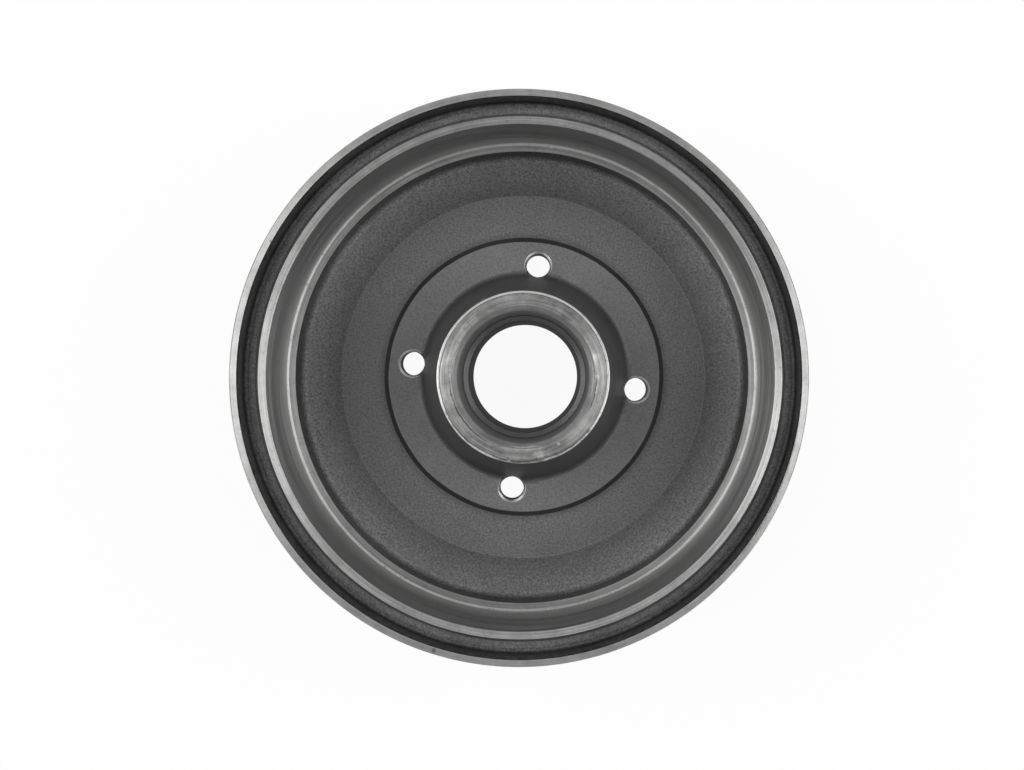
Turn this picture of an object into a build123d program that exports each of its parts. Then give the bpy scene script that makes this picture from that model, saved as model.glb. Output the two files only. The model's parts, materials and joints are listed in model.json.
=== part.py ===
"""Rear brake drum with the wheel bearing's hub cast in one with it.

One grey-iron casting: a dished web carries the drum wall outside and the hub boss inside.
Its working faces are turned, and four holes in the web's pad are tapped for the wheel bolts.
The origin is the centre of the wheel face on the axle's axis, and +Z points to the open side.
All sizes are millimetres, and heights are counted from the wheel face.
"""
from build123d import *
import os
from math import radians, tan

# Brake track: the turned band that the shoes rub on
brake_diameter = 203.0
track_width = 40.0
track_height = 25.0  # wheel face to the track's inner end
track_ledge = 3.75  # turned step between the track and the as-cast cavity
track_corner = 0.8  # bevel left by the tool's nose at the track's inner end
mouth_width = 2.6  # chamfer at the track's open end, across
mouth_rise = 2.0  # and along the axis

# Drum wall and the thicker flange round its open end
drum_wall = 8.0  # behind the track, where it meets the flange
wall_draft = 2.3  # degrees, the outside narrows towards the web
flange_overhang = 4.75  # flange outside the wall
flange_width = 16.0  # along the axis
flange_edge = 0.5  # turned chamfer on the rim's outer corner
flange_root = 2.0  # where the flange meets the wall

# Groove in the open end, which the backplate's turned-up edge runs in
rim_projection = 6.0  # rim face beyond the track's open end
lip_thickness = 2.85
lip_draft = 4.5  # degrees
groove_depth = 9.5
groove_floor_rise = 1.1  # the floor climbs towards the track
groove_foot = 1.3
shoulder_draft = 22.0  # degrees

# Web between the wall and the hub
web_thickness = 7.5
web_recess = 2.0  # web set back from the wheel face
web_flat = 12.6  # flat ring from the wheel face's edge to where the cone starts
dish_angle = 17.3  # degrees
cavity_root = 2.4  # bevel between the cone and the cavity's wall
heel_radius = 9.0  # outside corner between the web and the drum wall

# Pad for the wheel: the face outside, a raised round land inside
wheel_face_margin = 16.0  # outside the bolt circle
pad_margin = 10.0  # outside the bolt circle
pad_thickness = 12.0
pad_draft = 40.0  # degrees

# Wheel bolts
bolt_circle = 100.0
bolt_count = 4
bolt_thread = 12.0
thread_pitch = 1.5
bolt_countersink = 12.0

# Spigot that centres the wheel
spigot_wall = 6.25
spigot_length = 8.0
spigot_chamfer = 1.5

# Hub boss
boss_wall = 7.7  # round the bearing seat
boss_height = 77.3  # wheel face to the boss's end face
boss_straight = 20.3  # round length below the end face
boss_draft = 14.1  # degrees, below the round length
boss_root = 3.0  # fillet radius
boss_chamfer = 0.8

# Bearing seat, from the boss's end face down to its shoulder
bearing_diameter = 52.0
bearing_width = 37.0
lead_in_width = 2.0  # chamfer into the seat, across
lead_in_depth = 2.3  # and along the axis
circlip_lip = 2.8  # seat left above the circlip's groove
circlip_width = 1.9
circlip_depth = 1.4
bearing_shoulder = 2.25  # step from the seat in to the bore for the grease cap
cap_bore_chamfer = 0.8

# Radii and heights that follow from the sizes above
brake_radius = brake_diameter / 2
cavity_radius = brake_radius - track_ledge
wall_radius = brake_radius + drum_wall
flange_radius = wall_radius + flange_overhang
seat_radius = bearing_diameter / 2
boss_radius = seat_radius + boss_wall
bore_radius = seat_radius - bearing_shoulder
spigot_radius = bore_radius + spigot_wall
pad_radius = bolt_circle / 2 + pad_margin
face_radius = bolt_circle / 2 + wheel_face_margin
dish_radius = face_radius + web_recess + web_flat
tap_drill = bolt_thread - thread_pitch
track_mouth = track_height + track_width
rim_height = track_mouth + rim_projection
flange_back = rim_height - flange_width
web_floor = web_recess + web_thickness


def corner(x, z, bevel=0, radius=0):
    """A corner of the half section: sharp, cut off by a bevel with legs that long, or rounded."""
    return {"at": Vector(x, z), "bevel": bevel, "radius": radius}


def run_of(height, angle):
    """How far a wall leans over a height, with so many degrees of draft."""
    return height * tan(radians(angle))


def wheel_side():
    """Spigot, wheel face and the web's outside."""
    heel_x = wall_radius - run_of(flange_back - web_floor, wall_draft)
    heel_z = web_recess + (heel_x - dish_radius) * tan(radians(dish_angle))
    return [
        corner(bore_radius, -spigot_length, bevel=cap_bore_chamfer),
        corner(spigot_radius, -spigot_length, bevel=spigot_chamfer),
        corner(spigot_radius, 0),
        corner(face_radius, 0),
        corner(face_radius + web_recess, web_recess),
        corner(dish_radius, web_recess),
        corner(heel_x, heel_z, radius=heel_radius),
    ]


def open_end():
    """Flange, rim face and the groove behind the lip."""
    lip_top = flange_radius - lip_thickness
    groove_bottom = rim_height - groove_depth
    crest_radius = brake_radius + mouth_width
    crest_height = track_mouth + mouth_rise
    shoulder_foot = groove_bottom + groove_floor_rise
    shoulder_lean = run_of(crest_height - shoulder_foot, shoulder_draft)
    return [
        corner(wall_radius, flange_back, bevel=flange_root),
        corner(flange_radius, flange_back),
        corner(flange_radius, rim_height, bevel=flange_edge),
        corner(lip_top, rim_height),
        corner(lip_top - run_of(groove_depth, lip_draft), groove_bottom, bevel=groove_foot),
        corner(crest_radius + shoulder_lean, shoulder_foot),
        corner(crest_radius, crest_height),
    ]


def brake_track():
    """Turned track with its ledge, and the as-cast cavity below it."""
    cavity_floor = web_floor + (cavity_radius - dish_radius) * tan(radians(dish_angle))
    return [
        corner(brake_radius, track_mouth),
        corner(brake_radius, track_height, bevel=track_corner),
        corner(cavity_radius, track_height),
        corner(cavity_radius, cavity_floor, bevel=cavity_root),
        corner(dish_radius, web_floor),
    ]


def pad_and_boss():
    """Raised land that carries the bolt holes, and the outside of the hub boss."""
    boss_knee = boss_height - boss_straight
    boss_foot = boss_radius + run_of(boss_knee - pad_thickness, boss_draft)
    return [
        corner(pad_radius + run_of(pad_thickness - web_floor, pad_draft), web_floor),
        corner(pad_radius, pad_thickness),
        corner(boss_foot, pad_thickness, radius=boss_root),
        corner(boss_radius, boss_knee),
        corner(boss_radius, boss_height, bevel=boss_chamfer),
    ]


def hub_bore():
    """Bearing seat with its circlip groove and shoulder, and the grease cap's bore."""
    seat_top = boss_height - lead_in_depth
    groove_top = seat_top - circlip_lip
    groove_bottom = groove_top - circlip_width
    groove_radius = seat_radius + circlip_depth
    shoulder = groove_bottom - bearing_width
    return [
        corner(seat_radius + lead_in_width, boss_height),
        corner(seat_radius, seat_top),
        corner(seat_radius, groove_top),
        corner(groove_radius, groove_top),
        corner(groove_radius, groove_bottom),
        corner(seat_radius, groove_bottom),
        corner(seat_radius, shoulder),
        corner(bore_radius, shoulder),
    ]


def with_bevels(outline):
    """Points and fillet radii of a closed outline, where a bevelled corner becomes two points."""
    points, radii = [], []
    for before, here, after in zip(outline[-1:] + outline[:-1], outline, outline[1:] + outline[:1]):
        ends = [before["at"], after["at"]] if here["bevel"] else [after["at"]]
        for end in ends:
            points.append(here["at"] + (end - here["at"]).normalized() * here["bevel"])
            radii.append(here["radius"])
    return points, radii


def turned_body():
    """Half section of the whole casting, revolved about the axle."""
    outline = wheel_side() + open_end() + brake_track() + pad_and_boss() + hub_bore()
    points, radii = with_bevels(outline)
    with BuildPart() as body:
        with BuildSketch(Plane.XZ):
            with BuildLine():
                FilletPolyline(*points, radius=radii, close=True)
            make_face()
        revolve(axis=Axis.Z)
    return body.part


def bolt_hole():
    """Tap-drilled hole through the pad, and the countersinking tool's way in past the boss."""
    drill = tap_drill / 2
    countersink = bolt_countersink / 2
    depth = countersink - drill
    with BuildPart() as hole:
        with BuildSketch(Plane.XZ):
            with BuildLine():
                Polyline(
                    (0, -depth),
                    (countersink + depth, -depth),
                    (drill, depth),
                    (drill, pad_thickness - depth),
                    (countersink, pad_thickness),
                    (countersink, boss_height),
                    (0, boss_height),
                    close=True,
                )
            make_face()
        revolve(axis=Axis.Z)
    return hole.part


def brake_drum():
    """The casting with its ring of bolt holes."""
    with BuildPart() as drum:
        add(turned_body())
        with PolarLocations(bolt_circle / 2, bolt_count):
            add(bolt_hole(), mode=Mode.SUBTRACT)
    return drum.part


os.makedirs("parts", exist_ok=True)
export_step(brake_drum(), "parts/brake_drum.step")
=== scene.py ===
# %% [markdown]
# # A brake drum with its hub cast in
#
# A brake drum turns with the wheel, while two shoes inside it press outward on its track. The frame gives
# this drum's true sizes and its mounts. This script draws the one casting that stands for it: a half
# section with its edges broken, turned about the axis, with four tapped holes woven into the grid.
# Lengths are in millimetres until the mesh is made.

# %% Load the frame
import json
import math

import bpy
import numpy as np
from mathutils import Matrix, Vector


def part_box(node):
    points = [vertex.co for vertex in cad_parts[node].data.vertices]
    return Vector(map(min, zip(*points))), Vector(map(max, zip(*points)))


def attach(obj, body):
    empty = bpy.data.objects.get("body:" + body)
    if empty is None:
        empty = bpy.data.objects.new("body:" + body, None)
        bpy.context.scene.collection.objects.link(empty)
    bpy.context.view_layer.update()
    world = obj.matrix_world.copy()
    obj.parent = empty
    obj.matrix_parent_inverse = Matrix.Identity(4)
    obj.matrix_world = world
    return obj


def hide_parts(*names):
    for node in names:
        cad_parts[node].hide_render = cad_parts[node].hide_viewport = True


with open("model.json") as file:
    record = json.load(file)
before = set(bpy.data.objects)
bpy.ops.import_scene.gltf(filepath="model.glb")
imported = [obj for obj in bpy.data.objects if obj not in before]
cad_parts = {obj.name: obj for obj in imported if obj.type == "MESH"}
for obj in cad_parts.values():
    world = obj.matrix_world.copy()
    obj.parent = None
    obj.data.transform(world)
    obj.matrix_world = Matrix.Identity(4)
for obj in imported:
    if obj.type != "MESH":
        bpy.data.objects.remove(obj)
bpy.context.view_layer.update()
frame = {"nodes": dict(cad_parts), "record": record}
mounts = {m["name"]: m for m in frame["record"]["mounts"]}
low, high = (np.array(p) * 1000 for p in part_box("brake_drum"))
print("drum box in mm:", low.round(2), high.round(2))
print("mounts:", ", ".join(sorted(mounts)))

# %% [markdown]
# ## Sizes
#
# A wheel, a bearing and two brake shoes have to fit the real drum, so those sizes come first. They could
# be typed in, but the frame already states them: the mounts give every size that something else fits, and
# the box gives the outside. Read from there, the shown drum can't drift away from the solid one.

# %% Sizes from the frame
def radius_of(name):
    """The radius in millimetres of a round mount."""
    return mounts[name]["dims"]["r_mm"]


BORE = radius_of("cap_bore")
SPIGOT = radius_of("wheel_spigot")
SEAT = radius_of("bearing_seat")
TRACK = radius_of("brake_track")
BOLT_CIRCLE = mounts["wheel_bolts"]["dims"]["pcd_mm"] / 2
BOLTS = mounts["wheel_bolts"]["dims"]["count"]
DRILL = mounts["wheel_bolts"]["dims"]["hole_r_mm"]
FLANGE = high[0]
SPIGOT_END = low[2]
BOSS_TOP = high[2]
print("bore, spigot, seat, track, flange:", BORE, SPIGOT, SEAT, TRACK, round(FLANGE, 2))

# %% [markdown]
# What is left is the shape of the casting between those sizes. Radii are measured from the axis, and
# heights from the face that the wheel rests on. A slope could be kept as two radii. It is kept as an
# angle, because a founder gives the draft of a mould in degrees.

# %% Sizes of the pad, the hub and the holes
COUNTERSINK = 6.0
THREAD_PITCH = 1.5
PAD = 60.0
PAD_TOP = 12.0
PAD_SLOPE = math.radians(40)
BOSS_FOOT = 45.0
BOSS = 33.7
BOSS_STRAIGHT = 57.0
LEAD_WIDTH = 2.0
LEAD_DEPTH = 2.3
SHOULDER = 33.3
CLIP_TOP = 72.2
CLIP_FOOT = 70.3
CLIP_DEPTH = 1.4
print("hub stands", round(BOSS_TOP - PAD_TOP, 2), "mm above the pad")

# %% Sizes of the web and the wall
FACE = 66.0
RECESS = 2.0
DISH = 80.6
DISH_ANGLE = math.radians(17.3)
WEB = 9.5
WALL = 109.5
WALL_DRAFT = math.radians(2.3)
FLANGE_BACK = 55.0
CAVITY = 97.75
LEDGE = 25.0
heel = WALL - (FLANGE_BACK - WEB) * math.tan(WALL_DRAFT)
heel_height = RECESS + (heel - DISH) * math.tan(DISH_ANGLE)
cavity_foot = WEB + (CAVITY - DISH) * math.tan(DISH_ANGLE)
pad_foot = PAD + (PAD_TOP - WEB) * math.tan(PAD_SLOPE)
print("heel at", round(heel, 2), round(heel_height, 2), "cavity foot", round(cavity_foot, 2))

# %% Sizes of the rim, the gutter behind it and the track's mouth
RIM = 71.0
RIM_WIDTH = 2.85
GUTTER_DEPTH = 9.5
GUTTER_INNER_DEPTH = 8.4
GUTTER_DRAFT = math.radians(4.5)
MOUTH = 65.0
MOUTH_WIDTH = 2.6
MOUTH_CHAMFER = 2.0
CREST_HEIGHT = 4.4
CREST_SLOPE = math.radians(22)
lip = FLANGE - RIM_WIDTH
lip_foot = lip - GUTTER_DEPTH * math.tan(GUTTER_DRAFT)
crest = TRACK + MOUTH_WIDTH
crest_foot = crest + CREST_HEIGHT * math.tan(CREST_SLOPE)
print("lip at", round(lip, 2), "its foot at", round(lip_foot, 2), "crest at", round(crest, 2))

# %% [markdown]
# ## The half section
#
# Cut through the axis, one side of the casting is a closed outline. It could be drawn as a curve and
# turned by a Screw modifier. A list of corners is chosen, so that each edge and each run can carry its
# own finish.
#
# Each corner has a radius, a height, and the way its edge is cut: `break` is the small radius that a file
# leaves, `bevel` a chamfer with legs that long, `round` a fillet. Then come the finish of the cut edge
# and the finish of the run that leaves it. The list runs anticlockwise, so the iron is on its left.
# Finishes of the sand mould and of the lathe are kept apart, because only a cast skin swells.

# %% The finishes
CAST_FINISHES = ("cast", "gutter", "crease", "dish", "web", "pad", "skirt", "step", "groove")
TURNED_FINISHES = ("turned", "flange", "mouth", "hub", "edge", "ledge", "track", "seat", "shoulder", "bore",
                   "thread", "boss", "lead")
FINISHES = CAST_FINISHES + TURNED_FINISHES
NUMBER = {name: k for k, name in enumerate(FINISHES)}
print("cast finishes:", len(CAST_FINISHES), "turned finishes:", len(TURNED_FINISHES))

# %% The corners
OUTLINE = [
    (BORE, SPIGOT_END, "bevel", 0.8, "turned", "turned"),
    (SPIGOT, SPIGOT_END, "bevel", 1.5, "turned", "turned"),
    (SPIGOT, 0.0, "break", 0.3, "turned", "turned"),
    (FACE, 0.0, "break", 0.25, "cast", "cast"),
    (FACE + RECESS, RECESS, "round", 1.0, "cast", "cast"),
    (DISH, RECESS, "round", 2.5, "cast", "cast"),
    (heel, heel_height, "round", 9.0, "cast", "cast"),
    (WALL, FLANGE_BACK, "round", 2.2, "cast", "cast"),
    (FLANGE, FLANGE_BACK, "round", 1.0, "flange", "flange"),
    (FLANGE, RIM, "bevel", 0.5, "mouth", "turned"),
    (lip, RIM, "break", 0.1, "mouth", "groove"),
    (lip_foot, RIM - GUTTER_DEPTH, "round", 1.6, "crease", "gutter"),
    (crest_foot, RIM - GUTTER_INNER_DEPTH, "round", 0.8, "gutter", "gutter"),
    (crest, MOUTH + MOUTH_CHAMFER, "break", 0.2, "mouth", "mouth"),
    (TRACK, MOUTH, "break", 0.2, "track", "track"),
    (TRACK, LEDGE, "bevel", 0.8, "edge", "ledge"),
    (CAVITY, LEDGE, "break", 0.25, "step", "dish"),
    (CAVITY, cavity_foot, "round", 4.0, "dish", "dish"),
    (DISH, WEB, "round", 2.5, "web", "web"),
    (pad_foot, WEB, "round", 0.3, "step", "step"),
    (PAD, PAD_TOP, "round", 0.35, "pad", "pad"),
    (BOSS_FOOT, PAD_TOP, "round", 3.0, "skirt", "skirt"),
    (BOSS, BOSS_STRAIGHT, "round", 6.0, "boss", "boss"),
    (BOSS, BOSS_TOP, "bevel", 0.8, "edge", "hub"),
    (SEAT + LEAD_WIDTH, BOSS_TOP, "break", 0.15, "lead", "lead"),
    (SEAT, BOSS_TOP - LEAD_DEPTH, "break", 0.15, "seat", "seat"),
    (SEAT, CLIP_TOP, "break", 0.1, "seat", "seat"),
    (SEAT + CLIP_DEPTH, CLIP_TOP, "break", 0.1, "seat", "seat"),
    (SEAT + CLIP_DEPTH, CLIP_FOOT, "break", 0.1, "seat", "seat"),
    (SEAT, CLIP_FOOT, "break", 0.1, "seat", "seat"),
    (SEAT, SHOULDER, "break", 0.3, "shoulder", "shoulder"),
    (BORE, SHOULDER, "break", 0.3, "bore", "bore"),
]
print("corners:", len(OUTLINE))

# %% [markdown]
# Every edge of the real drum is a little round, from the file, the tool or the mould. A Bevel modifier
# could round them after the turning, but it rounds all edges alike. Here each corner of the outline is
# cut in its own way first.

# %% Cut the corners
BEVEL_EDGE = 0.12


def arc(before, at, after, radius, steps):
    """The fillet's points, from at + t u to at + t v.

    u and v point to the corners before and after, and t = radius / tan(half the angle between them). The
    points between are the two ends, seen from the centre, mixed so that they stay on the circle.
    """
    u = (before - at) / np.linalg.norm(before - at)
    v = (after - at) / np.linalg.norm(after - at)
    half = 0.5 * math.acos(float(np.clip(u @ v, -1, 1)))
    centre = at + (u + v) / np.linalg.norm(u + v) * radius / math.sin(half)
    start = at + u * radius / math.tan(half) - centre
    end = at + v * radius / math.tan(half) - centre
    sweep = math.pi - 2 * half
    t = np.linspace(0, 1, steps + 1)[:, None]
    return centre + (np.sin((1 - t) * sweep) * start + np.sin(t * sweep) * end) / math.sin(sweep)


def arc_steps(size):
    """Steps in an arc: more for a larger radius, in mm."""
    return 6 if size > 2 else 3 if size > 0.5 else 2


def cut_corner(before, at, after, way, size):
    """The points that replace a corner: one arc, or a flat of that leg length between two small arcs."""
    if way != "bevel":
        return arc(before, at, after, size, arc_steps(size))
    u = at + (before - at) / np.linalg.norm(before - at) * size
    v = at + (after - at) / np.linalg.norm(after - at) * size
    return np.vstack([arc(before, u, v, BEVEL_EDGE, 2), arc(u, v, after, BEVEL_EDGE, 2)])


corners_at = np.array([corner[:2] for corner in OUTLINE])
cuts = [cut_corner(before, at, after, way, size) for before, at, after, (_, _, way, size, _, _)
        in zip(np.roll(corners_at, 1, 0), corners_at, np.roll(corners_at, -1, 0), OUTLINE)]
print("points at the corners:", sum(len(cut) for cut in cuts))

# %% [markdown]
# Between the corners the outline runs straight. The grid needs rows there as well, because the cast skin
# isn't quite flat. Subdividing every run alike would waste points on the turned faces, so each kind of
# skin has its own step.

# %% Rows along the outline
CAST_STEP = 3.2
TURNED_STEP = 9.0


def lay_rows():
    """(rows of radius and height, number of the finish that each row's step has)."""
    rows, finish = [], []
    for corner, cut, onward in zip(OUTLINE, cuts, cuts[1:] + cuts[:1]):
        step = CAST_STEP if corner[5] in CAST_FINISHES else TURNED_STEP
        steps = max(1, math.ceil(np.linalg.norm(onward[0] - cut[-1]) / step))
        rows += [cut, np.linspace(cut[-1], onward[0], steps + 1)[1:-1]]
        finish += [NUMBER[corner[4]]] * (len(cut) - 1) + [NUMBER[corner[5]]] * steps
    return np.vstack(rows), np.array(finish)


rows, finish = lay_rows()
print("rows:", len(rows))

# %% [markdown]
# A bolt hole goes through the pad and comes out of the wheel face. The rows on the two sides could lie
# anywhere, but then its two ends wouldn't line up. So both sides share one set of radii across the holes,
# close together where the boss's root is.

# %% Rows that the two ends of a hole share
BAND_RADII = np.array([41, 42.3, 43.5, 44.4, 45.2, 46, 46.8, 47.6, 49, 51, 53.5, 56, 59])
BAND_MARGIN = 0.7
SKIRT_REACH = 2.0


def share_band(rows, finish, on_pad):
    """One side's rows across the holes, moved to the shared radii, with heights read off the outline."""
    inside = (rows[:, 0] > BAND_RADII[0] - BAND_MARGIN) & (rows[:, 0] < BAND_RADII[-1] + BAND_MARGIN)
    inside &= (rows[:, 1] > PAD_TOP / 2) if on_pad else (np.abs(rows[:, 1]) < 1e-6)
    first, last = np.flatnonzero(inside)[[0, -1]]
    whole = rows[first - 1:last + 2]
    whole = whole[np.argsort(whole[:, 0])]
    band = np.column_stack([BAND_RADII, np.interp(BAND_RADII, whole[:, 0], whole[:, 1])])
    kinds = np.full(len(band), NUMBER["turned"])
    if on_pad:
        band = band[::-1]
        kinds = np.where(band[:, 0] > BOSS_FOOT + SKIRT_REACH, NUMBER["pad"], NUMBER["skirt"])
    return (np.vstack([rows[:first], band, rows[last + 1:]]),
            np.concatenate([finish[:first], kinds, finish[last + 1:]]), first)


rows, finish, face_row = share_band(rows, finish, on_pad=False)
rows, finish, pad_row = share_band(rows, finish, on_pad=True)
gaps = np.linalg.norm(np.roll(rows, -1, 0) - rows, axis=1)
print("rows:", len(rows), "shortest step", gaps.min().round(3), "longest", gaps.max().round(2))

# %% [markdown]
# ## The grid
#
# A casting turned on a lathe is the same all round, so its points are a grid: rows along the half
# section, columns round the axis. Screw or Spin would do as well. A grid is chosen because the four holes
# have to be cut out of it cleanly: round each one the cells of a small sector are left out.

# %% Turn the rows about the axis
COLUMNS = 256
HALF_SECTOR = 10
BAND = len(BAND_RADII)


def turned_grid(rows):
    """Point (i, j) = (R_i cos t_j, R_i sin t_j, z_i), with t_j = 2 pi j / COLUMNS."""
    t = 2 * math.pi * np.arange(COLUMNS) / COLUMNS
    x = rows[:, :1] * np.cos(t)
    y = rows[:, :1] * np.sin(t)
    z = np.repeat(rows[:, 1:], COLUMNS, axis=1)
    return np.stack([x, y, z], axis=2).reshape(-1, 3)


def grid_faces(count, skip):
    """Quads between row i and i + 1, outward side first, without the cells that skip marks."""
    i, j = np.meshgrid(np.arange(count), np.arange(COLUMNS), indexing="ij")
    down = (i + 1) % count
    right = (j + 1) % COLUMNS
    corners = [i * COLUMNS + j, i * COLUMNS + right, down * COLUMNS + right, down * COLUMNS + j]
    return np.stack(corners, axis=2)[~skip], i[~skip]


def hole_columns(bolt):
    """The columns across one bolt's sector."""
    middle = bolt * COLUMNS // BOLTS
    return (middle + np.arange(-HALF_SECTOR, HALF_SECTOR + 1)) % COLUMNS


grid = turned_grid(rows)
skip = np.zeros((len(rows), COLUMNS), bool)
for bolt in range(BOLTS):
    for first in (face_row, pad_row):
        skip[first:first + BAND - 1, hole_columns(bolt)[:-1]] = True
grid_quads, quad_row = grid_faces(len(rows), skip)
print("grid points:", len(grid), "quads:", len(grid_quads))

# %% [markdown]
# ## The bolt holes
#
# Each hole is drilled through the pad and tapped for a wheel bolt. A Boolean would leave long thin
# triangles that show in the highlights. Here the border of each left-out sector is drawn in, loop by
# loop, until it is the hole's round rim, and every loop keeps to the surface.

# %% The border of a hole's sector
def border(first, bolt, on_pad):
    """Point numbers round a sector, anticlockwise seen from above, starting at the inner radius."""
    columns = hole_columns(bolt)
    band = first + np.arange(BAND)
    if on_pad:
        band = band[::-1]
    inner, outer = band[0], band[-1]
    return np.concatenate([
        band[:-1] * COLUMNS + columns[0],
        outer * COLUMNS + columns[:-1],
        band[:0:-1] * COLUMNS + columns[-1],
        inner * COLUMNS + columns[:0:-1],
    ])


def bolt_centres():
    """Centre k = pitch radius * (cos, sin) of 2 pi k / BOLTS."""
    turn = 2 * math.pi * np.arange(BOLTS) / BOLTS
    return BOLT_CIRCLE * np.column_stack([np.cos(turn), np.sin(turn)])


print("points round a hole:", len(border(pad_row, 0, on_pad=True)))
print("centres:", bolt_centres().round(2).tolist())

# %% One end of a hole
LAYERS = 8
RIM_BREAK = 0.12


def hole_end(bolt, on_pad):
    """(border's point numbers, new points by layer, angle of each column about the hole's axis).

    Seen from above, point (k, j) = border_j (1 - t_k) + rim_j t_k, with t_k = k / LAYERS. Its height is the
    half section's height at its own distance from the drum's axis.
    """
    first = pad_row if on_pad else face_row
    edge = border(first, bolt, on_pad)
    centre = bolt_centres()[bolt]
    away = grid[edge, :2] - centre
    angle = np.arctan2(away[:, 1], away[:, 0])
    rim_radius = COUNTERSINK + (RIM_BREAK if on_pad else 0)
    rim = centre + rim_radius * np.column_stack([np.cos(angle), np.sin(angle)])
    t = np.arange(1, LAYERS + 1)[:, None, None] / LAYERS
    flat = grid[edge, :2] * (1 - t) + rim * t
    band = rows[first:first + BAND]
    band = band[np.argsort(band[:, 0])]
    z = np.interp(np.linalg.norm(flat, axis=2), band[:, 0], band[:, 1])
    return edge, np.dstack([flat, z]), angle


print("rim heights on the pad, in mm:", np.unique(hole_end(0, on_pad=True)[1][-1, :, 2].round(1)))

# %% [markdown]
# The thread is a ridge that winds down the hole. A real screw could be modelled by a Screw modifier along
# the hole's axis. Here the wall is a grid of angle and height, and its radius follows the helix, so it
# joins the hole's two ends without a seam.

# %% The thread
THREAD_ROWS = 70
THREAD_DEPTH = 0.72
THREAD_END = 0.75
THREAD_START = 0.9
THREAD_FADE = 1.2
BREAK_TOP = 0.09
BREAK_FOOT = 0.14


def thread_radius(angle, z):
    """r = DRILL + depth * clip(2 - 5 |f - 1/2|, 0, 1), a flat-topped tooth over each pitch.

    f is the fraction of z / pitch - angle / 2 pi, which makes it a helix. The tooth fades out near each
    end, where the tap's lead and the countersink are.
    """
    f = (z / THREAD_PITCH - angle / (2 * math.pi)) % 1.0
    tooth = np.clip(2.0 - np.abs(f - 0.5) * 5.0, 0, 1)
    fade = np.clip(np.minimum(z - THREAD_START, PAD_TOP - THREAD_START - z) / THREAD_FADE, 0, 1)
    return DRILL + THREAD_DEPTH * tooth * fade


def thread_wall(bolt, angle, rim_height):
    """Point (k, j) = centre + r(angle_j, z_k) (cos, sin) of angle_j, from the rim down to the face."""
    centre = bolt_centres()[bolt]
    around = angle - 2 * math.pi * bolt / BOLTS
    heights = np.linspace(PAD_TOP - THREAD_END, THREAD_END, THREAD_ROWS)[:, None] * np.ones(len(angle))
    broken = np.maximum(rim_height - RIM_BREAK, PAD_TOP - BREAK_TOP)
    z = np.vstack([broken, np.full(len(angle), PAD_TOP - BREAK_FOOT), heights])
    r = np.vstack([np.full((2, len(angle)), COUNTERSINK), thread_radius(around, heights)])
    return np.dstack([centre[0] + r * np.cos(angle), centre[1] + r * np.sin(angle), z])


turns = (PAD_TOP - 2 * THREAD_END) / THREAD_PITCH
print("turns of thread:", turns, "rows for each turn:", round(THREAD_ROWS / turns, 1))

# %% [markdown]
# A real hole has two ends and a wall, all in one skin. The three could be separate objects that touch.
# Here their loops are joined to the grid by quads, so that the light runs over the rim without a gap.

# %% Strips between loops
WOVEN_SKIRT_REACH = 2.5


def strip(loops):
    """Quads between each closed loop of point numbers and the next."""
    beside = np.roll(loops, -1, axis=1)
    return np.stack([loops[:-1], beside[:-1], beside[1:], loops[1:]], axis=2).reshape(-1, 4)


def pad_finish(flat):
    """The pad's finish outside the boss's foot, and the skirt's within, by the middle of each quad."""
    beside = np.roll(flat, -1, axis=1)
    middle = (flat[:-1] + beside[:-1] + beside[1:] + flat[1:]) / 4
    reach = np.linalg.norm(middle, axis=2).ravel()
    return np.where(reach > BOSS_FOOT + WOVEN_SKIRT_REACH, NUMBER["pad"], NUMBER["skirt"])


print("quads between two loops of four points:", len(strip(np.arange(8).reshape(2, 4))))

# %% [markdown]
# One hole is a patch of such strips: the wheel face's end, the pad's end and the wall. It could be made
# once and copied by an Array modifier, but then its border would stay loose. It is reckoned four times
# instead, and each time its border is the grid's own points.

# %% Weave in the four holes
RIM_STRIPS = 3


def hole_patch(bolt, start):
    """(points, quads, finishes) of one hole: its two ends and the thread between, numbered from start."""
    face_edge, face_points, _ = hole_end(bolt, on_pad=False)
    pad_edge, pad_points, angle = hole_end(bolt, on_pad=True)
    new = np.concatenate([face_points, pad_points, thread_wall(bolt, angle, pad_points[-1, :, 2])])
    loops = start + np.arange(new.shape[0] * new.shape[1]).reshape(new.shape[:2])
    face = strip(np.vstack([face_edge, loops[:LAYERS]]))[:, ::-1]
    pad = strip(np.vstack([pad_edge, loops[LAYERS:2 * LAYERS]]))
    wall = strip(np.vstack([loops[2 * LAYERS - 1:], loops[LAYERS - 1]]))
    seen_from_above = np.concatenate([grid[None, pad_edge, :2], pad_points[:, :, :2]])
    wall_kinds = [NUMBER["edge"]] * RIM_STRIPS + [NUMBER["thread"]] * (THREAD_ROWS - 1) + [NUMBER["edge"]]
    kinds = np.concatenate([np.full(len(face), NUMBER["turned"]), pad_finish(seen_from_above),
                            np.repeat(wall_kinds, len(angle))])
    return new.reshape(-1, 3), np.vstack([face, pad, wall]), kinds


patch_size = len(hole_patch(0, 0)[0])
patches = [hole_patch(bolt, len(grid) + bolt * patch_size) for bolt in range(BOLTS)]
points = np.vstack([grid] + [patch[0] for patch in patches])
quads = np.vstack([grid_quads] + [patch[1] for patch in patches])
quad_finish = np.concatenate([finish[quad_row]] + [patch[2] for patch in patches])
print("points in each hole:", patch_size, "quads in all:", len(quads))

# %% [markdown]
# A solid casting has no loose points and no open edges. Blender's Merge by Distance and its selection of
# non-manifold edges would find them. Here the arrays tell it sooner: unused points go, and every edge has
# to be shared by two quads.

# %% Leave out unused points, and see that the skin is closed
used, quads = np.unique(quads, return_inverse=True)
quads = quads.reshape(-1, 4)
points = points[used]


def volume(points, quads):
    """Sum over triangles of a . (b x c) / 6, positive when the faces look outward."""
    a, b, c, d = (points[quads[:, k]] for k in range(4))
    return ((a * np.cross(b, c)).sum() + (a * np.cross(c, d)).sum()) / 6


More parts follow.
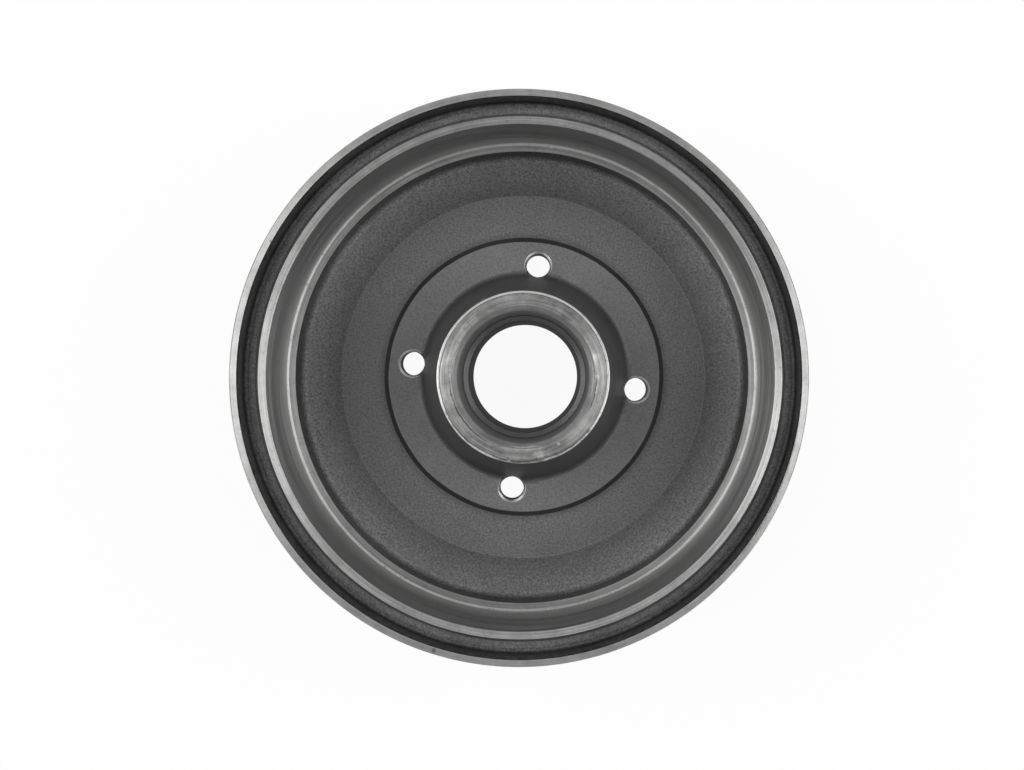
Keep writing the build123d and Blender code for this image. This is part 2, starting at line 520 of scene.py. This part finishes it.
edges = np.sort(np.stack([quads, np.roll(quads, -1, 1)], axis=2).reshape(-1, 2), axis=1)
shared_by = np.unique(edges, axis=0, return_counts=True)[1]
print("points:", len(points), "triangles:", 2 * len(quads))
print("edges not shared by two:", int((shared_by != 2).sum()))
print("volume in cubic mm:", round(volume(points, quads)))

# %% [markdown]
# ## The cast skin isn't flat
#
# A sand mould leaves slow swells, typically 0.07 mm high and nowhere over about a quarter of a
# millimetre, which bend the highlights. A Displace modifier could do it. Here the shape is a sum of
# waves, so that it can be faded out by the true distance to the nearest turned face or hole.

# %% Normals and the swell
SWELL_SEED = 11


def point_normals(points, quads):
    """Unit sum of the area vectors of the faces round each point.

    The area vector of quad a, b, c, d is (c - a) x (d - b) / 2.
    """
    a, b, c, d = (points[quads[:, k]] for k in range(4))
    area = np.cross(c - a, d - b) / 2
    total = np.zeros_like(points)
    for k in range(4):
        for axis in range(3):
            total[:, axis] += np.bincount(quads[:, k], area[:, axis], len(points))
    return total / np.linalg.norm(total, axis=1, keepdims=True)


def swell(points, seed, waves=24):
    """Sum of a_k sin(k_k . p + phase_k), with wavelengths of 6 to 25 mm and an overall spread of 1."""
    rng = np.random.default_rng(seed)
    way = rng.normal(size=(waves, 3))
    way /= np.linalg.norm(way, axis=1, keepdims=True)
    length = rng.uniform(6, 25, waves)
    phase = rng.uniform(0, 2 * math.pi, waves)
    height = length / np.sqrt((length ** 2).sum() / 2)
    return np.sin(points @ (way * (2 * math.pi / length)[:, None]).T + phase) @ height


print("spread of the swell before it is scaled:", swell(points, SWELL_SEED).std().round(2))

# %% [markdown]
# The lathe cuts its faces flat again, so the swell has to end where they begin. A painted vertex group
# could hold it back. Here two distances do: to the turned rows of the half section, and to the nearest
# bolt.

# %% Distances that hold the swell back
def distance_to_rows(points, wanted):
    """Distance of each point, taken as (hypot(x, y), z), from the wanted steps of the half section.

    For a step from a to b it is |p - a - t (b - a)|, with t = (p - a) . (b - a) / |b - a|^2 held in 0..1.
    """
    section = np.column_stack([np.hypot(points[:, 0], points[:, 1]), points[:, 2]])
    section, back = np.unique(section.round(3), axis=0, return_inverse=True)
    start, way = rows[wanted], (np.roll(rows, -1, 0) - rows)[wanted]
    t = ((section[:, None] - start) * way).sum(axis=2) / (way * way).sum(axis=1)
    foot = start + np.clip(t, 0, 1)[..., None] * way
    return np.linalg.norm(section[:, None] - foot, axis=2).min(axis=1)[back.ravel()]


def distance_to_bolts(points):
    """Distance of each point from the nearest bolt's axis."""
    return np.linalg.norm(points[:, None, :2] - bolt_centres(), axis=2).min(axis=1)


print("farthest point from any bolt:", distance_to_bolts(points).max().round(2), "mm")

# %% Swell the cast skin
SWELL = 0.07
FADE = 2.5
TURNED_MARGIN = 0.5
HOLE_MARGIN = 0.1
turned_rows = ~np.isin(finish, [NUMBER[name] for name in CAST_FINISHES])
share = np.clip((distance_to_rows(points, turned_rows) - TURNED_MARGIN) / FADE, 0, 1)
share *= np.clip((distance_to_bolts(points) - COUNTERSINK - RIM_BREAK - HOLE_MARGIN) / FADE, 0, 1)
points = points + (SWELL * share * swell(points, SWELL_SEED))[:, None] * point_normals(points, quads)
print("share of points on swelling skin:", round(float((share > 0.5).mean()), 3))

# %% [markdown]
# ## The piece
#
# The real drum is one casting, so it is one object that takes the CAD drum's place. A Weighted Normal
# modifier could smooth it. Much the same is reckoned here: normals are weighted by area, so a narrow
# broken edge bends the light and the flat beside it stays flat. The map's first axis runs round the axis,
# which tells the turned faces which way the tool went.

# %% Make the piece
MAP_LENGTH = 200


def casting_mesh():
    """The closed mesh in metres, with a material number for each finish.

    Its map has u = angle / 2 pi and v = (radius + height) / MAP_LENGTH. A quad across the seam has its
    negative u raised by 1, so that it isn't stretched over the whole map.
    """
    mesh = bpy.data.meshes.new("drum_casting")
    mesh.from_pydata((points / 1000).tolist(), [], quads.tolist())
    mesh.polygons.foreach_set("material_index", quad_finish.astype(np.int32))
    corner = quads.ravel()
    angle = np.arctan2(points[:, 1], points[:, 0])[corner].reshape(-1, 4) / (2 * math.pi)
    angle[(np.ptp(angle, axis=1) > 0.5)[:, None] & (angle < 0)] += 1
    along = (np.hypot(points[:, 0], points[:, 1]) + points[:, 2])[corner] / MAP_LENGTH
    mesh.uv_layers.new(name="round").data.foreach_set("uv", np.column_stack([angle.ravel(), along]).ravel())
    mesh.shade_smooth()
    mesh.normals_split_custom_set_from_vertices(point_normals(points, quads).tolist())
    return mesh


casting = bpy.data.objects.new("drum_casting", casting_mesh())
bpy.context.scene.collection.objects.link(casting)
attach(casting, "root")
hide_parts("brake_drum")
print("size in mm:", [round(d * 1000, 2) for d in casting.dimensions])

# %% [markdown]
# The casting has to be the same drum as the solid one from the frame. The two could be laid over each
# other and compared by eye. Here each of the solid's own points, apart from those at the holes, is held
# against the half section: it should lie on it.

# %% Set the casting against the CAD drum
def node_points(node):
    """All of a node's vertices in mm, as one array: M p, with M the node's place."""
    flat = np.empty(3 * len(node.data.vertices), np.float32)
    node.data.vertices.foreach_get("co", flat)
    place = np.array(node.matrix_world)
    return (flat.reshape(-1, 3) @ place[:3, :3].T + place[:3, 3]) * 1000


solid = node_points(frame["nodes"]["brake_drum"])
solid = solid[distance_to_bolts(solid) > COUNTERSINK + TURNED_MARGIN]
off = distance_to_rows(solid, np.full(len(rows), True))
print("CAD points off the half section in mm: typical", off.mean().round(3), "greatest", off.max().round(3))

# %% [markdown]
# ## Finishes
#
# The casting leaves the mould with a dull dark skin and a fine grain. A lathe then cuts the rim, the
# track, the hub and the faces that other parts touch. A turned face is bright iron whose fine rings
# spread a highlight across them, so it shines to the left and right of the axis and is darker above and
# below. A picture of such a face would only fit one view. Noise on the object's own coordinates fits them
# all.

# %% Make nodes and link them
def node_maker(tree):
    """add, where add(type, inputs, **settings) makes a node and fills or links its inputs."""
    tree.nodes.clear()

    def add(kind, inputs=None, **settings):
        node = tree.nodes.new(kind)
        for key, value in settings.items():
            setattr(node, key, value)
        for key, value in (inputs or {}).items():
            if isinstance(value, bpy.types.NodeSocket):
                tree.links.new(value, node.inputs[key])
            else:
                node.inputs[key].default_value = value
        return node

    return add


def new_material(name):
    """(material, add) for an empty material."""
    material = bpy.data.materials.new(name)
    material.use_nodes = True
    return material, node_maker(material.node_tree)


print("materials so far:", len(bpy.data.materials))

# %% [markdown]
# The same few nodes come back in every finish. A node group could hold them. Short functions are chosen,
# since they read like the sums that they make, and a material stays a plain chain of nodes.

# %% Nodes that every finish uses
def maths(add, operation, *values):
    """One Math node on up to three values."""
    return add("ShaderNodeMath", dict(enumerate(values)), operation=operation).outputs[0]


def vector_maths(add, operation, *values):
    """One Vector Math node: its value for a length or a distance, and its vector otherwise."""
    node = add("ShaderNodeVectorMath", dict(enumerate(values)), operation=operation)
    return node.outputs["Value" if operation in ("LENGTH", "DISTANCE") else "Vector"]


def mapped(add, value, low, high, start=0.3, end=0.7):
    """value from start..end moved to low..high, and held there."""
    return add("ShaderNodeMapRange", {"Value": value, "From Min": start, "From Max": end,
                                      "To Min": low, "To Max": high}).outputs["Result"]


def noise(add, where, scale, detail, roughness):
    """A noise value over the vector where."""
    return add("ShaderNodeTexNoise", {"Vector": where, "Scale": scale, "Detail": detail,
                                      "Roughness": roughness}).outputs["Fac"]


def grey(add, value, tint):
    """A colour from one grey value and a slight tint."""
    return add("ShaderNodeMix", {"Factor": 1.0, "A": value, "B": (*tint, 1)},
               data_type="RGBA", blend_type="MULTIPLY").outputs[2]


print("finishes to make:", len(FINISHES))

# %% [markdown]
# Use leaves marks on some finishes: a line where a tool or a seal ran, a bare spot, the part of a line
# that a burr scratched. They could be painted on an image. Here each is placed in millimetres seen along
# the axis, and a noise makes its edge ragged, so it stays sharp however near the camera comes.

# %% Where a mark is
# Besides marks of use, these marks also carry painted light and shade: glints, and shade along creases and
# edges.
RAGGED = 420.0
RAGGED_BY = 0.0012


def places(add):
    """(object coordinates, the same seen along the axis, distance from the axis, a ragged noise)."""
    where = add("ShaderNodeTexCoord").outputs["Object"]
    flat = vector_maths(add, "MULTIPLY", where, (1.0, 1.0, 0.0))
    return where, flat, vector_maths(add, "LENGTH", flat), noise(add, where, RAGGED, 3.0, 0.5)


def ring_mark(add, reach, ragged, radius, width):
    """1 - |reach - radius + RAGGED_BY (noise - 1/2)| / width, held in 0..1."""
    off = maths(add, "MULTIPLY_ADD", ragged, RAGGED_BY, reach)
    off = maths(add, "ABSOLUTE", maths(add, "SUBTRACT", off, radius / 1000 + RAGGED_BY / 2))
    return mapped(add, off, 1.0, 0.0, 0.0, width / 1000)


def spot_mark(add, flat, ragged, x, y, size):
    """1 near (x, y) seen along the axis, fading to 0 at roughly size mm from it.

    With d the distance plus 1.43 size times the noise, it is 1 up to d = size and 0 from d = 1.54 size.
    """
    off = vector_maths(add, "DISTANCE", flat, (x / 1000, y / 1000, 0.0))
    off = maths(add, "MULTIPLY_ADD", ragged, size / 700, off)
    return mapped(add, off, 1.0, 0.0, size / 1000, size / 650)


print("a ragged edge changes about every", round(1000 / RAGGED, 1), "mm")

# %% [markdown]
# A mark is lighter or darker than the finish round it. Mixing in a second colour would hide the grain
# there. The tone is multiplied instead, so the grain shows through, and marks can cross.

# %% Put the marks on
def marked(add, value, flat, reach, ragged, rings=(), spots=(), arcs=()):
    """value times each mark's change, where the mark is.

    Rings are (radius, width, change) and spots (x, y, size, change). Arcs are (x, y, size, radius, width,
    change): the part of a ring within a spot.
    """
    for radius, width, change in rings:
        share = ring_mark(add, reach, ragged, radius, width)
        value = maths(add, "MULTIPLY", value, mapped(add, share, 1.0, change, 0.0, 1.0))
    for x, y, size, change in spots:
        share = spot_mark(add, flat, ragged, x, y, size)
        value = maths(add, "MULTIPLY", value, mapped(add, share, 1.0, change, 0.0, 1.0))
    for x, y, size, radius, width, change in arcs:
        share = maths(add, "MULTIPLY", spot_mark(add, flat, ragged, x, y, size),
                      ring_mark(add, reach, ragged, radius, width))
        value = maths(add, "MULTIPLY", value, mapped(add, share, 1.0, change, 0.0, 1.0))
    return value


print("kinds of mark: rings, spots and arcs")

# %% [markdown]
# Where no tool went, the skin still has the grain of the sand it was poured against. It could be
# sculpted, but it is finer than the mesh, so it is tone and bump from one noise. A slower noise makes
# patches, because oil and dust don't lie evenly.

# %% Cast skin
SAND = 1150.0
SAND_HEIGHT = 0.0003
SKIN_PATCH = 45.0
SKIN_MOTTLE = 0.14
SKIN_ROUGHNESS = (0.52, 0.62)


def cast_skin(name, tone, rough_sand, gloss=0.5, **marks):
    """Dark skin with grain as strong as rough_sand, and with slow patches.

    gloss is the specular level: old oil and dust in a corner leave little of it.
    """
    material, add = new_material(name)
    where, flat, reach, ragged = places(add)
    grain = noise(add, where, SAND, 3.0, 0.6)
    patch = noise(add, where, SKIN_PATCH, 4.0, 0.55)
    value = maths(add, "MULTIPLY", mapped(add, grain, 1 - rough_sand, 1 + rough_sand),
                  mapped(add, patch, tone * (1 - SKIN_MOTTLE), tone * (1 + SKIN_MOTTLE)))
    value = marked(add, value, flat, reach, ragged, **marks)
    bump = add("ShaderNodeBump", {"Height": grain, "Strength": rough_sand, "Distance": SAND_HEIGHT})
    shader = add("ShaderNodeBsdfPrincipled", {
        "Base Color": grey(add, value, (0.99, 0.995, 1.0)), "Metallic": 0.35, "Specular IOR Level": gloss,
        "Roughness": mapped(add, patch, *SKIN_ROUGHNESS), "Normal": bump.outputs["Normal"]})
    add("ShaderNodeOutputMaterial", {"Surface": shader.outputs["BSDF"]})
    return material


print("grain of the sand in mm:", round(1000 / SAND, 2), "patches:", round(1000 / SKIN_PATCH, 1))

# %% [markdown]
# The tool leaves rings too fine to model. A Wave texture could draw them, but too evenly. They are noise
# that changes fast along the half section and slowly round the axis, with a shine stretched across the
# rings by the shader's anisotropy and the map's direction.

# %% Tool rings
STREAK_SCALE = 1.4
HEIGHT_SHARE = 0.73


def tool_rings(add, where, flat, reach, pitch):
    """(height, noise over STREAK_SCALE (cos t, sin t) and (radius + HEIGHT_SHARE height) / pitch).

    The noise changes little round the axis, so its streaks follow the tool.
    """
    height = add("ShaderNodeSeparateXYZ", {"Vector": where}).outputs["Z"]
    path = maths(add, "MULTIPLY_ADD", height, HEIGHT_SHARE, reach)
    slow = vector_maths(add, "MULTIPLY", vector_maths(add, "NORMALIZE", flat), (STREAK_SCALE,) * 3)
    fast = add("ShaderNodeCombineXYZ", {"Z": maths(add, "MULTIPLY", path, 1000 / pitch)}).outputs[0]
    return height, noise(add, vector_maths(add, "ADD", slow, fast), 1.0, 2.0, 0.7)


print("a wall's rings are", round(1 / HEIGHT_SHARE, 2), "times as far apart as a flat face's")

# %% [markdown]
# A fresh cut would be even. This iron has small pits, slower patches, rust and worn places, and on the
# deep walls of the bearing seat and the cap bore painted shade lowers the shine seen edge-on. An image of
# worn metal would bring another drum's marks with it. One function builds every turned finish from
# numbers that say how much of each there is.

# %% Turned iron
IRON_PATCH = 110.0
PITS = 650.0
RING_HEIGHT = 0.00003
RING_BUMP = 0.25
RING_ROUGHNESS = 0.04
ACROSS_THE_RINGS = 0.25
RUST = (0.15, 0.105, 0.07, 1)
RUST_SHARE = 0.4


def turned_iron(name, tone, roughness, spread, streak, mottle=0.07, pitch=0.45, pits=1.0, edge_shine=1.0,
                height_tone=None, stains=(), **marks):
    """Bright iron with tool rings as strong as streak, pitch mm apart, and patches as strong as mottle.

    pits is the tone left in the small pits of the iron, where 1 is none. edge_shine is how much of the
    shine is left where the face is seen nearly edge-on; below 1 it is painted shade. height_tone is
    (height, height, change): the tone is times that change at the first height, and as it was at the
    second. stains are (x, y, size) of rust.
    """
    material, add = new_material(name)
    where, flat, reach, ragged = places(add)
    height, rings = tool_rings(add, where, flat, reach, pitch)
    patch = noise(add, where, IRON_PATCH, 5.0, 0.65)
    value = maths(add, "MULTIPLY", mapped(add, rings, 1 - streak, 1 + streak),
                  mapped(add, patch, tone * (1 - mottle), tone * (1 + mottle)))
    if pits < 1:
        pitted = mapped(add, noise(add, where, PITS, 3.0, 0.6), 1.0, pits, 0.60, 0.68)
        value = maths(add, "MULTIPLY", value, pitted)
    if height_tone:
        height_factor = mapped(add, height, height_tone[2], 1.0, height_tone[0] / 1000, height_tone[1] / 1000)
        value = maths(add, "MULTIPLY", value, height_factor)
    colour = grey(add, marked(add, value, flat, reach, ragged, **marks), (1.0, 0.995, 0.985))
    for x, y, size in stains:
        share = maths(add, "MULTIPLY", spot_mark(add, flat, ragged, x, y, size), RUST_SHARE)
        colour = add("ShaderNodeMix", {"Factor": share, "A": colour, "B": RUST},
                     data_type="RGBA").outputs[2]
    tangent = add("ShaderNodeTangent", direction_type="UV_MAP", uv_map="round")
    bump = add("ShaderNodeBump", {"Height": rings, "Strength": RING_BUMP, "Distance": RING_HEIGHT})
    shader = add("ShaderNodeBsdfPrincipled", {
        "Base Color": colour, "Metallic": 1.0, "Specular Tint": (edge_shine, edge_shine, edge_shine, 1),
        "Roughness": mapped(add, rings, roughness - RING_ROUGHNESS, roughness + RING_ROUGHNESS),
        "Anisotropic": spread, "Anisotropic Rotation": ACROSS_THE_RINGS,
        "Tangent": tangent.outputs["Tangent"], "Normal": bump.outputs["Normal"]})
    add("ShaderNodeOutputMaterial", {"Surface": shader.outputs["BSDF"]})
    return material


print("patches of the iron in mm:", round(1000 / IRON_PATCH, 1), "pits:", round(1000 / PITS, 2))

# %% [markdown]
# Some places of the cast skin are sheltered and others are touched, and some carry painted shade and
# light where the shape shades or lights them. One material with a painted mask could show that. Here each
# place has a finish of its own, and the same function makes them all: only the tone, the grain and the
# marks differ. A named list says what the marks are.

# %% Marks on the cast skin
# Painted shade along the dish's crease, fading outward, painted light on the fillet at the cavity's foot,
# and a thin painted shadow on the cavity's wall.
DISH_PAINTED_SHADE_AND_LIGHT = [(82.0, 11.0, 0.52), (96.2, 1.8, 1.45), (97.9, 0.6, 0.70)]
GUTTER_SHADE = [(lip_foot - 1.7, 1.4, 0.75)]
# Painted shade in the gutter's bottom corner, at the foot of the lip.
GUTTER_CORNER_PAINTED_SHADE = [(lip_foot + 0.1, 1.3, 0.25)]
# Painted shade on the web beside the foot of the pad's step.
WEB_PAINTED_SHADE = [(pad_foot, 3.0, 0.60)]
SKIRT_SCRATCHES = [(-24.0, 26.0, 5.0, 35.2, 0.2, 5.0), (-22.0, 29.0, 4.0, 36.4, 0.18, 5.0)]
# A dark line along the lip's edge, partly a burr and partly painted shadow, and a lighter line just below
# it.
LIP_LINES = [(lip, 0.12, 0.35), (lip - 0.22, 0.24, 1.80)]
print("scratches on the boss's skirt:", len(SKIRT_SCRATCHES))

# %% The cast finishes
materials = {
    "cast": cast_skin("Cast iron skin", 0.092, 0.48),
    "dish": cast_skin("Cast dish skin", 0.103, 0.58, rings=DISH_PAINTED_SHADE_AND_LIGHT),
    "gutter": cast_skin("Cast gutter skin", 0.120, 0.48, rings=GUTTER_SHADE),
    # The gutter's bottom corner is darker: painted shade.
    "crease": cast_skin("Dirty gutter corner", 0.070, 0.50, gloss=0.15, rings=GUTTER_CORNER_PAINTED_SHADE),
    "web": cast_skin("Cast web skin", 0.096, 0.44, rings=WEB_PAINTED_SHADE),
    "pad": cast_skin("Cast pad skin", 0.112, 0.27),
    "skirt": cast_skin("Boss skirt skin", 0.074, 0.25, arcs=SKIRT_SCRATCHES),
    # The pad's step and the ledge's inner edge are darker: painted shade.
    "step": cast_skin("Pad step skin", 0.042, 0.25),
    # The wall under the lip is dark partly from oil and partly from painted shade.
    "groove": cast_skin("Oiled cast skin", 0.030, 0.40, rings=LIP_LINES),
}
print("cast finishes:", ", ".join(materials))

# %% [markdown]
# The lathe's work isn't one finish either. The track is lighter towards its foot, the rim has a few dents,
# its mouth a little rust, and the hub face carries dark and bright traces of a seal and of handling. Some
# marks are painted light and shade: painted glints on the lead-in, the ledge and a chip on the hub face, a
# painted highlight on the turned edges, painted shade on the lower side of the boss's edge, and darker
# deep walls in the bearing seat and the cap bore. One shader for all would hide where the drum was used,
# so each turned face has its own tone, roughness and marks.

# %% Marks on the turned iron
RIM_DENTS = [(-103.5, 41.0, 1.1, 0.45), (-22.5, -110.4, 1.6, 0.5), (62.4, -91.1, 1.2, 1.8)]
RIM_LINE = [(105.0, -38.0, 50.0, 111.6, 0.40, 0.35)]
MOUTH_RUST = [(-67.5, -80.3, 3.0), (-64.5, -82.0, 2.0)]
HUB_LINE = [(32.6, 0.30, 0.40)]
# Bright scuffed spots; the last is a small chip with a painted glint.
HUB_SCUFFS_AND_GLINT = [(9.5, -29.3, 2.8, 1.8), (26.9, 10.3, 2.4, 1.5), (28.4, 3.4, 1.2, 1.4), (16.5, -24.4, 0.9, 2.6)]
# Dark and bright traces of a seal and of handling; the last three are painted shade along the lower side of
# the face's outer edge.
HUB_TRACES_AND_EDGE_SHADE = [
    (-24.0, -17.0, 22.0, 28.6, 0.45, 0.20),
    (-29.5, 1.0, 9.0, 30.0, 0.60, 1.25),
    (4.0, -28.5, 9.0, 28.2, 0.40, 1.6),
    (28.5, -2.0, 12.0, 28.5, 0.45, 0.20),
    (6.0, -32.0, 15.0, 33.0, 0.50, 0.20),
    (-22.0, -24.0, 13.0, 33.0, 0.50, 0.30),
    (22.0, -24.0, 13.0, 33.0, 0.50, 0.30),
]
LEAD_GLINTS = [
    (-27.0, 2.0, 11.0, 27.6, 0.45, 1.6),
    (27.0, 2.0, 11.0, 27.2, 0.45, 1.6),
    (4.0, -27.0, 9.0, 27.3, 0.45, 2.0),
]
# Painted shade along the lower side of the boss's turned edge.
EDGE_PAINTED_SHADE = [
    (4.0, -33.0, 16.0, 33.3, 0.90, 0.35),
    (2.0, -33.0, 15.0, 32.9, 0.50, 0.10),
    (23.0, -23.0, 13.0, 32.9, 0.60, 0.05),
    (-23.0, -23.0, 13.0, 32.9, 0.45, 0.20),
]
LEDGE_GLINT = [(0.0, 100.4, 0.8, 1.8)]
# The track is lighter towards its foot: its tone is 1.8 times at 26 mm and as it was from 46 mm.
TRACK_LIGHTER_AT_FOOT = (26, 46, 1.80)
print("marks on the hub face:", len(HUB_LINE + HUB_SCUFFS_AND_GLINT + HUB_TRACES_AND_EDGE_SHADE))

# %% The turned finishes
materials.update({
    "turned": turned_iron("Turned iron", 0.234, 0.36, 0.91, 0.15, mottle=0.18, pitch=0.8, pits=0.88,
                          spots=RIM_DENTS, arcs=RIM_LINE),
    "flange": turned_iron("Turned flange", 0.200, 0.54, 0.35, 0.18, mottle=0.16),
    "mouth": turned_iron("Turned mouth", 0.252, 0.49, 0.74, 0.30, mottle=0.16, pitch=0.9, pits=0.72,
                         stains=MOUTH_RUST),
    "hub": turned_iron("Turned hub face", 0.172, 0.43, 0.70, 0.34, mottle=0.38, pitch=0.5, pits=0.68,
                       rings=HUB_LINE, spots=HUB_SCUFFS_AND_GLINT, arcs=HUB_TRACES_AND_EDGE_SHADE),
    "lead": turned_iron("Turned lead-in", 0.185, 0.66, 0.20, 0.20, mottle=0.24, arcs=LEAD_GLINTS),
    "boss": turned_iron("Turned boss side", 0.180, 0.46, 0.60, 0.12, mottle=0.10),
    # The edge's bright tone is a painted highlight, and its marks are painted shade.
    "edge": turned_iron("Turned edge", 0.580, 0.44, 0.80, 0.10, pits=0.60, arcs=EDGE_PAINTED_SHADE),
    "ledge": turned_iron("Turned ledge", 0.262, 0.38, 0.80, 0.26, mottle=0.12, pitch=0.9, pits=0.82,
                         spots=LEDGE_GLINT),
    "track": turned_iron("Brake track", 0.215, 0.38, 0.90, 0.26, pitch=0.9, height_tone=TRACK_LIGHTER_AT_FOOT),
    # Painted shade: the bearing seat's low tone and held-back edge-on shine darken a deep wall that would
    # show the white sky in its gloss.
    "seat": turned_iron("Bearing seat", 0.118, 0.48, 0.60, 0.10, edge_shine=0.38),
    "shoulder": turned_iron("Bearing shoulder", 0.122, 0.40, 0.92, 0.10),
    # Painted shade: the cap bore's low tone and held-back edge-on shine darken its deep wall.
    "bore": turned_iron("Cap bore", 0.100, 0.50, 0.55, 0.10, edge_shine=0.25),
    "thread": turned_iron("Tapped thread", 0.130, 0.42, 0.30, 0.05),
})
for name in FINISHES:
    casting.data.materials.append(materials[name])
print("materials:", [m.name for m in casting.data.materials])

# %% [markdown]
# ## Floor, light and camera
#
# The drum stands on a large white floor. Strong light could make it white, but the iron would get too
# light as well. So the floor and the sky are plain white only where they are a background: to the camera
# and in the iron's gloss. A diffuse share keeps the drum's shadow on the floor. From beneath, the floor
# is clear, so it doesn't hide the drum.

# %% Floor
FLOOR = 12.0
FLOOR_GAP = 0.00005
PLAIN_SHARE = 0.94


def shows_background(add):
    """1 for camera, glossy and transmission rays, so that iron shows the white that the camera sees."""
    path = add("ShaderNodeLightPath").outputs
    seen = maths(add, "MAXIMUM", path["Is Camera Ray"], path["Is Glossy Ray"])
    return maths(add, "MAXIMUM", seen, path["Is Transmission Ray"])


def floor_material():
    """White diffuse, mostly plain white where it shows as background, and clear from beneath."""
    material, add = new_material("White floor")
    plain = add("ShaderNodeEmission", {"Color": (1, 1, 1, 1), "Strength": 1.0})
    diffuse = add("ShaderNodeBsdfDiffuse", {"Color": (0.85, 0.85, 0.85, 1)})
    share = maths(add, "MULTIPLY", shows_background(add), PLAIN_SHARE)
    mix = add("ShaderNodeMixShader", {0: share, 1: diffuse.outputs[0], 2: plain.outputs[0]})
    under = add("ShaderNodeNewGeometry").outputs["Backfacing"]
    clear = add("ShaderNodeBsdfTransparent")
    mix = add("ShaderNodeMixShader", {0: under, 1: mix.outputs[0], 2: clear.outputs[0]})
    add("ShaderNodeOutputMaterial", {"Surface": mix.outputs[0]})
    return material


floor_mesh = bpy.data.meshes.new("floor")
floor_mesh.from_pydata([(-FLOOR, -FLOOR, 0), (FLOOR, -FLOOR, 0), (FLOOR, FLOOR, 0), (-FLOOR, FLOOR, 0)],
                       [], [(0, 1, 2, 3)])
floor_mesh.materials.append(floor_material())
floor = bpy.data.objects.new("floor", floor_mesh)
floor.location.z = SPIGOT_END / 1000 - FLOOR_GAP
bpy.context.scene.collection.objects.link(floor)
print("floor at", round(floor.location.z * 1000, 2), "mm")

# %% [markdown]
# Two tall soft lights stand to the left and right of the drum, with a weak one above. A sun would make
# one hard spot, while tall panels make the broad fans that turned iron shows. Together with a faint sky
# they light a level face about as much as a white sky would, so a colour looks as it is written.

# %% Sky and lights
SKY = 0.09
world = bpy.data.worlds.new("Soft sky")
bpy.context.scene.world = world
world.use_nodes = True
add = node_maker(world.node_tree)
strength = mapped(add, shows_background(add), SKY, 1.0, 0.0, 1.0)
background = add("ShaderNodeBackground", {"Color": (1, 1, 1, 1), "Strength": strength})
add("ShaderNodeOutputWorld", {"Surface": background.outputs[0]})


def soft_light(name, place, size, power):
    """A rectangle of light at place in metres, turned to the drum."""
    light = bpy.data.lights.new(name, "AREA")
    light.shape = "RECTANGLE"
    light.size, light.size_y = size
    light.energy = power
    lamp = bpy.data.objects.new(name, light)
    lamp.location = place
    lamp.rotation_euler = Vector(place).to_track_quat("Z", "Y").to_euler()
    lamp.visible_camera = False
    bpy.context.scene.collection.objects.link(lamp)
    return lamp


soft_light("left softbox", (-1.08, 0.1, 1.04), (1.0, 1.8), 20.0)
soft_light("right softbox", (1.1, 0.2, 1.02), (1.0, 1.6), 17.6)
soft_light("top fill", (0.0, 1.0, 1.3), (1.4, 0.8), 1.5)

# %% [markdown]
# The camera looks down into the drum, a few degrees off its axis. It could be turned until the drum is in
# the middle of the view, but then the drum would lean. A small shift of the lens moves the view instead.

# %% Camera
lens = bpy.data.cameras.new("camera")
lens.sensor_width = 36
lens.lens = 41.147
lens.shift_x = -0.0985
lens.shift_y = -0.0255
camera = bpy.data.objects.new("camera", lens)
camera.location = (0.00452, 0.00192, 0.53427)
camera.rotation_mode = "ZXY"
camera.rotation_euler = [math.radians(a) for a in (1.15, -3.664, 6.671)]
bpy.context.scene.collection.objects.link(camera)
bpy.context.scene.camera = camera
bpy.context.scene.view_settings.view_transform = "Standard"
print("camera at", tuple(round(c, 4) for c in camera.location))

# %% [markdown]
# ## Check the size and finish
#
# The shown drum has to stay as large as the CAD drum. Blender's sidebar shows the size of one object.
# Here the bounds of everything that belongs to the drum are written down, from before the casting was
# made and from now.

# %% Sizes before and after
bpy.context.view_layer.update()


def plain(bounds):
    """Bounds as lists of plain numbers."""
    return [[float(c) for c in corner] for corner in bounds]
